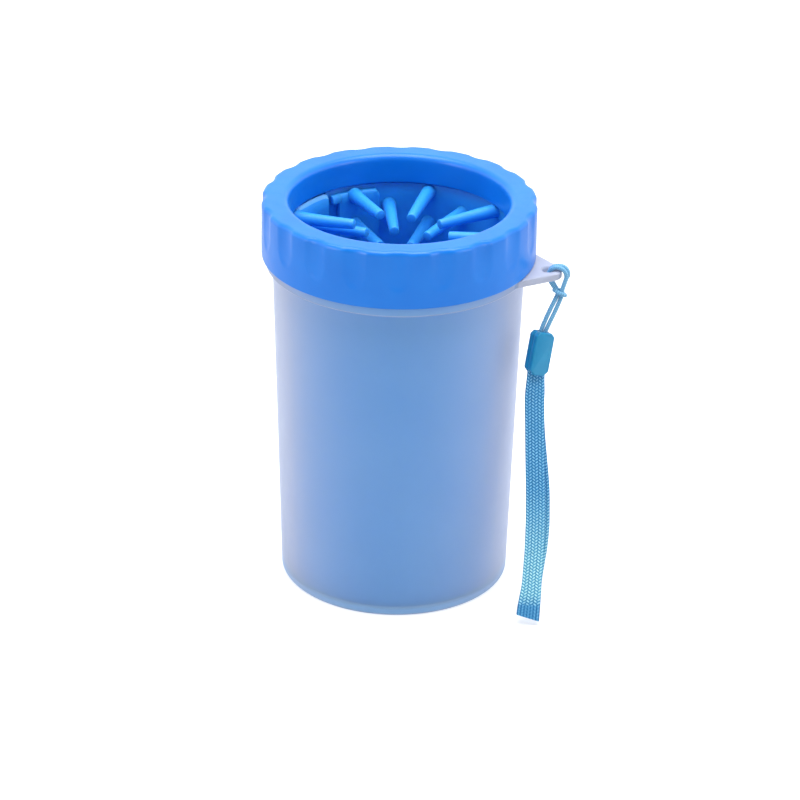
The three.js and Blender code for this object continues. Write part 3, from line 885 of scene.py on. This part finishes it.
def catmull(points, per):
    """A Catmull-Rom curve with a number of steps per span."""
    p = [np.array(point, float) for point in points]
    p = [2 * p[0] - p[1]] + p + [2 * p[-1] - p[-2]]
    out = []
    for a, b, c, d in zip(p, p[1:], p[2:], p[3:]):
        for k in range(per):
            t = k / per
            out.append(0.5 * ((2 * b) + (-a + c) * t + (2 * a - 5 * b + 4 * c - d) * t * t
                              + (-a + 3 * b - 3 * c + d) * t ** 3))
    out.append(p[-2])
    return np.array(out)


def resample(path, step):
    lengths = np.linalg.norm(np.diff(path, axis=0), axis=1)
    along = np.concatenate([[0], np.cumsum(lengths)])
    count = max(2, int(along[-1] / step))
    stations = np.linspace(0, along[-1], count + 1)
    return np.stack([np.interp(stations, along, path[:, i]) for i in range(3)], 1)


def cord(path, radius, closed=False):
    """A braided cord along a path: its grid and the braid's height at each vertex."""
    path = resample(path, CORD_STEP)
    if closed:
        path = path[:-1]
        ahead = np.roll(path, -1, 0) - np.roll(path, 1, 0)
    else:
        ahead = np.gradient(path, axis=0)
    n = len(path)
    ahead /= np.linalg.norm(ahead, axis=1)[:, None]
    side = np.cross(ahead[0], [0.31, 0.2, 0.93])
    side /= np.linalg.norm(side)
    sides = []
    for direction in ahead:
        side = side - direction * (side @ direction)
        side /= np.linalg.norm(side)
        sides.append(side)
    if closed:  # spread the closing twist evenly
        end = sides[-1] - ahead[0] * (sides[-1] @ ahead[0])
        twist = math.atan2(end @ np.cross(ahead[0], sides[0]), end @ sides[0])
        for i in range(n):
            a = -twist * i / n
            other = np.cross(ahead[i], sides[i])
            sides[i] = sides[i] * math.cos(a) + other * math.sin(a)
    total = np.sum(np.linalg.norm(np.diff(path, axis=0), axis=1))
    turns = max(1, round(total / BRAID_LENGTH))
    rings, weave = [], []
    for i in range(n):
        other = np.cross(ahead[i], sides[i])
        phase = i / (n if closed else n - 1) * turns * TAU
        ring = []
        for k in range(CORD_SIDES):
            a = k / CORD_SIDES * TAU
            height = 0.5 + 0.5 * math.cos(4 * a + phase * 2) * math.cos(4 * a - phase * 2)
            r = radius * (0.94 + 0.1 * height)
            ring.append(path[i] + sides[i] * r * math.cos(a) + other * r * math.sin(a))
            weave.append(height)
        rings.append(ring)
    return grid(np.array(rings), close_u=closed, cap=not closed), weave


def loop_strand(side):
    """One of the two strands that leave the knot and pass round through the lug's hole."""
    arm = KNOT_POINT - LINK
    angle, reach = math.atan2(arm[2], arm @ OUT), math.hypot(arm @ OUT, arm[2])
    tangent = math.acos(LOOP_R / reach)
    first, last = angle + tangent, angle - tangent + TAU
    start = OUT * 0.35
    beside, below = TANGENT * side * 0.55, np.array([0, 0, -0.6])
    points = [KNOT_POINT + start + beside + below]
    for i in range(13):
        a = first + (last - first) * i / 12
        drift = arm @ TANGENT * 0.35 * abs((i - 6) / 6) ** 3
        radius = LOOP_R
        if side > 0:  # this strand bulges outwards
            radius += 0.85 * math.sin(math.pi * i / 12) ** 0.7 * max(0.0, math.cos(a))
        points.append(LINK + OUT * radius * math.cos(a) + TANGENT * (drift + side * 0.8)
                      + np.array([0, 0, radius * math.sin(a)]))
    points.append(KNOT_POINT - start + beside + below)
    return cord(catmull(points, 8), CORD_R)


def knot_ring():
    """The bight that holds the two tails."""
    down = hang(KNOT[0] - 1.0, KNOT[1] + 3.5) - KNOT_POINT
    down /= np.linalg.norm(down)
    wide = np.cross(down, FORWARD)
    wide /= np.linalg.norm(wide)
    deep = np.cross(wide, down)
    points = []
    for i in range(29):
        a = i / 28 * TAU
        points.append(KNOT_POINT + down * (0.25 - 0.35 * math.cos(a))
                      + wide * 2.2 * math.cos(a) + deep * 1.55 * math.sin(a))
    return cord(np.array(points), RING_CORD_R, closed=True)


def tail(side):
    """One of the two strands from the knot into the top of the clamp."""
    def between(share, nudge):
        return (KNOT[0] + (CLAMP_TOP[0] - KNOT[0]) * share + nudge,
                KNOT[1] + (CLAMP_TOP[1] - KNOT[1]) * share)

    middle, low = between(0.45, 0.15), between(0.8, -0.05)
    points = [
        hang(KNOT[0] + side * 0.65 + 0.2, KNOT[1] - 1.4),
        hang(KNOT[0] + side * 0.82 - 0.15, KNOT[1] + 1.2, 0.12 * side),
        hang(middle[0] + side * 1.05, middle[1], -0.15 * side),
        hang(low[0] + side * 0.95, low[1], 0.1 * side),
        hang(CLAMP_TOP[0] + side * 0.83, CLAMP_TOP[1]),
        hang(CLAMP_TOP[0] + side * 0.8 + CLAMP_DOWN[0] * 2.4,
             CLAMP_TOP[1] + CLAMP_DOWN[1] * 2.4),
    ]
    return cord(catmull(points, 10), CORD_R)


def build_cord():
    cords = [loop_strand(-1), loop_strand(1), knot_ring(), tail(-1), tail(1)]
    grids, weaves = zip(*cords)
    ob = object_from_grid("cord_loop", *joined(grids), {"weave": np.concatenate(weaves)})
    deliver(tidy(ob, 60), [cord_material()], "lanyard_cord", "lanyard")


# ---------------------------------------------------------------- clamp
CLAMP_DEPTH, CLAMP_GAP, CLAMP_YAW = 6.2, 0.16, math.radians(23)
CLAMP_LENGTH = 15.9
CLAMP_OUTLINE = [  # x, y up from the clamp's top, corner radius
    (-2.4, 0, 0.8), (2.4, 0, 0.8), (3.65, -1.4, 1.0), (3.65, -14.1, 1.2),
    (2.0, -CLAMP_LENGTH, 0.6), (-2.0, -CLAMP_LENGTH, 0.6), (-3.65, -14.1, 1.2),
    (-3.65, -1.4, 1.0),
]
CLAMP_POCKETS = [  # size, centre: the cord's at the top, the webbing's at the bottom
    ((3.9, 7.0, 3.0), (0, 0, 0)),
    ((6.1, 9.0, 3.4), (0, -CLAMP_LENGTH, 0)),
]


def build_pocket_cutter(size, centre):
    bm = bmesh.new()
    bmesh.ops.create_cube(bm, size=1.0)
    for vert in bm.verts:
        vert.co = Vector([c * s + o for c, s, o in zip(vert.co, size, centre)])
    bevel_edges(bm, lambda a, b: True, offset=0.7, segments=4)
    return object_from_bmesh("pocket_cutter", bm)


def build_clamps():
    made = clamp_material()
    outline = fillet(CLAMP_OUTLINE, 4)
    place = (Matrix.Scale(MM, 4) @ frame_matrix(ACROSS, UPWARD, FORWARD, hang(*CLAMP_TOP))
             @ Matrix.Rotation(-CLAMP_TILT, 4, "Z") @ Matrix.Rotation(CLAMP_YAW, 4, "Y"))
    for name, replaces, sign in (("clamp_shell_front", "strap_clamp_front", 1),
                                 ("clamp_shell_rear", "strap_clamp_rear", -1)):
        seam, face = CLAMP_GAP / 2 * sign, CLAMP_DEPTH / 2 * sign
        bm = prism(outline, seam, face)
        for level, offset, segments in ((face, 1.15, 5), (seam, 0.14, 2)):
            bevel_edges(bm, lambda a, b: max(abs(a.z - level), abs(b.z - level)) < 1e-5,
                        offset=offset, segments=segments, clamp_overlap=True)
        ob = object_from_bmesh(name, bm)
        for size, centre in CLAMP_POCKETS:
            boolean(ob, build_pocket_cutter(size, centre), "DIFFERENCE")
        ob.data.transform(place)
        tidy(ob, 32)
        deliver(ob, [made], replaces, "lanyard")


# ---------------------------------------------------------------- strap
STRAP_LINE = [  # s down from LINK, x of the strap's middle
    (35.0, -6.95), (38.0, -7.12), (46.15, -7.33), (57.3, -6.99), (68.5, -6.61),
    (79.7, -6.15), (91.0, -5.91), (102.3, -6.07), (109.9, -6.48), (117.5, -6.88),
    (123.2, -7.48), (128.2, -7.88),
]
STRAP_TOP, STRAP_END, STRAP_STEP = 34.2, 128.0, 0.2
STRAP_HALF_WIDTH, STRAP_THICK = 3.55, 0.44
STRAP_COLUMNS = 46  # vertices across each face
STITCH_COLUMNS, STITCH = 6, 1.18


def strap_x(s):
    return float(np.interp(s, *zip(*STRAP_LINE)))


def weave_height(u, s):
    """Herringbone braid: slanted stitches that change sides at every column. Its height shapes
    the strap and sets its painted shade and highlights.
    """
    across = (u + 1) * 0.5 * STITCH_COLUMNS
    column = min(STITCH_COLUMNS - 1, int(across))
    part = across - column
    slant, stagger = (1, 0.5) if column % 2 else (-1, 0.0)
    phase = s / STITCH + slant * (part - 0.5) * 0.62 + stagger
    height = (0.5 + 0.5 * math.cos(TAU * phase)) ** 0.8 * math.sin(math.pi * part) ** 0.55
    if s > STRAP_END - 5.4:  # stitched, flattened end
        flat = smooth(STRAP_END - 5.4, STRAP_END - 4.6, s)
        rib = 0.5 + 0.5 * math.cos(TAU * (u * 3.6))
        height = height * (1 - 0.75 * flat) + 0.45 * rib * flat
    # lower towards the edges: the strap thins there, and the colour ramps paint shade along its
    # edges
    return height * (1 - 0.7 * smooth(0.9, 1.0, abs(u)))


def strap_section(s):
    """Closed outline across one layer, as (x, offset, weave height)."""
    swell = 0.9 + 0.1 * smooth(36.5, 44, s) + 0.17 * smooth(112, 126, s)
    width = STRAP_HALF_WIDTH * swell
    section = []
    for face in (1, -1):
        for k in range(STRAP_COLUMNS):
            u = (-1 + 2 * k / (STRAP_COLUMNS - 1)) * face
            height = weave_height(u, s)
            edge = (1 - abs(u)) ** 0.35
            lift = STRAP_THICK * (0.35 + 0.65 * min(1.0, edge * 1.35)) + 0.2 * height
            section.append((u * width, face * lift, height))
    return section


def strap_layer(layer):
    """The front (1) or rear (-1) layer: its grid, weave heights and shares of the length."""
    count = int((STRAP_END - STRAP_TOP) / STRAP_STEP)
    rings, weave, along = [], [], []
    for i in range(count + 1):
        s = STRAP_TOP + (STRAP_END - STRAP_TOP) * i / count
        if s < STRAP_END - 4:
            spread = 0.62 + 0.25 * math.sin(math.pi * clamp01((s - 46) / 76.0))
        else:
            spread = 0.62 - 0.1 * smooth(STRAP_END - 4, STRAP_END, s)
        shift = 0.0
        if layer < 0:  # the rear layer shows to the right of the front one
            shift = 1.75 * smooth(50, 84, s) * (1 - smooth(92, 120, s))
        twist = 0.10 * layer * math.sin((s - 40) / 90 * math.pi)
        skew = max(0.0, (s - STRAP_END + 6) / 6)
        ring = []
        for x, offset, height in strap_section(s):
            ring.append(hang(strap_x(s) + x + shift, s + skew * (0.30 * x),
                             layer * spread + offset + twist * x * 0.3))
            weave.append(height)
            along.append((s - STRAP_TOP) / (STRAP_END - STRAP_TOP))
        rings.append(ring)
    return grid(np.array(rings), cap=True), weave, along


def build_strap():
    grids, weaves, alongs = zip(strap_layer(1), strap_layer(-1))
    attributes = {"weave": np.concatenate(weaves), "along": np.concatenate(alongs)}
    ob = tidy(object_from_grid("strap_webbing_loop", *joined(grids), attributes), 70)
    deliver(ob, [strap_material()], "wrist_strap")
    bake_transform(ob)


# ---------------------------------------------------------------- stage, light, camera
FLOOR_HALF = 3
FLOOR_GLOW = 0.42  # extra brightness of the floor where the camera sees it directly
LIGHT_TARGET = (0, 0, 0.1)
WORLD_BASE = 0.325  # light from the front, below the added sides and back


def build_floor():
    mesh = bpy.data.meshes.new("floor")
    corners = [(x * FLOOR_HALF, y * FLOOR_HALF, 0)
               for x, y in ((-1, -1), (1, -1), (1, 1), (-1, 1))]
    mesh.from_pydata(corners, [], [(0, 1, 2, 3)])
    floor = add_object("floor", mesh)
    made, s = material("floor_pale")
    color = s.mix(s.mottle(scale=2, detail=2), srgb(211, 212, 215), srgb(215, 216, 218))
    rays = s.node("ShaderNodeLightPath").outputs
    unobstructed = s.math("LESS_THAN", rays["Transparent Depth"], 0.5)
    direct = s.math("MULTIPLY", rays["Is Camera Ray"], unobstructed)
    s.surface({
        "Base Color": color,
        "Roughness": 0.9,
        "Specular IOR Level": 0.1,
        "Emission Color": (1.0, 1.0, 1.0, 1.0),
        "Emission Strength": s.math("MULTIPLY", direct, FLOOR_GLOW),
    })
    mesh.materials.append(made)


def build_world():
    """Soft light from both sides and from behind, little from the front."""
    world = bpy.data.worlds.new("studio")
    bpy.context.scene.world = world
    world.use_nodes = True
    s = Shader(world.node_tree)
    x, y, _ = s.position("Generated")
    sides = s.remap(s.math("ABSOLUTE", x), source=(0.55, 0.97), to=(0.0, 1.5))
    behind = s.remap(y, source=(0.1, 0.85), to=(0.0, 0.95))
    glow = s.math("ADD", WORLD_BASE, s.math("ADD", sides, behind))
    camera_ray = s.node("ShaderNodeLightPath").outputs["Is Camera Ray"]
    s.feed(world.node_tree.nodes["Background"], {
        "Color": (0.97, 0.985, 1.0, 1.0),
        "Strength": s.math("MAXIMUM", glow, camera_ray),
    })


def area_light(name, location, size, power):
    data = bpy.data.lights.new(name, "AREA")
    data.shape = "RECTANGLE"
    data.size, data.size_y = size
    data.energy = power
    ob = add_object(name, data)
    ob.location = location
    aim = Vector(LIGHT_TARGET) - Vector(location)
    ob.rotation_euler = aim.to_track_quat("-Z", "Y").to_euler()
    return ob


def build_lights():
    area_light("top_box", location=(0.0, 0.0, 1.3), size=(1.1, 1.1), power=22.5)
    # narrow lights that draw streaks down the ring's scoops, and reach nothing else
    ring_only = bpy.data.collections.new("ring_only")
    ring_only.objects.link(bpy.data.objects["ring_shell"])
    for name, x, power in (("strip_left", -0.95, 3.6), ("strip_right", 0.95, 3.1)):
        lamp = area_light(name, location=(x, -0.62, 0.36), size=(0.11, 0.8), power=power)
        lamp.light_linking.receiver_collection = ring_only


def build_camera():
    """Looks from -Y and above at a point near the axis, rolled a little."""
    elevation, roll = math.radians(26.548847), math.radians(0.94946)
    distance = 1.213104
    target = Vector((0.001337, 0.0, 0.068122))
    data = bpy.data.cameras.new("camera")
    data.sensor_fit = "HORIZONTAL"
    data.sensor_width = 36.0
    data.lens = 146.51
    data.clip_start, data.clip_end = 0.05, 20.0
    camera = add_object("camera", data)
    back = Vector((0.0, -math.cos(elevation), math.sin(elevation)))
    level = Vector((1.0, 0.0, 0.0))
    upright_axis = back.cross(level)
    right = level * math.cos(roll) + upright_axis * math.sin(roll)
    up = -level * math.sin(roll) + upright_axis * math.cos(roll)
    camera.matrix_world = frame_matrix(right, up, back, target + back * distance)
    bpy.context.scene.camera = camera


build_ring()
build_gasket()
build_cup()
build_sleeve()
build_cord()
build_clamps()
build_strap()

view = bpy.context.scene.view_settings
view.view_transform = "Standard"
view.look = "None"
view.exposure = 0.0
view.gamma = 1.0
build_floor()
build_world()
build_lights()
build_camera()
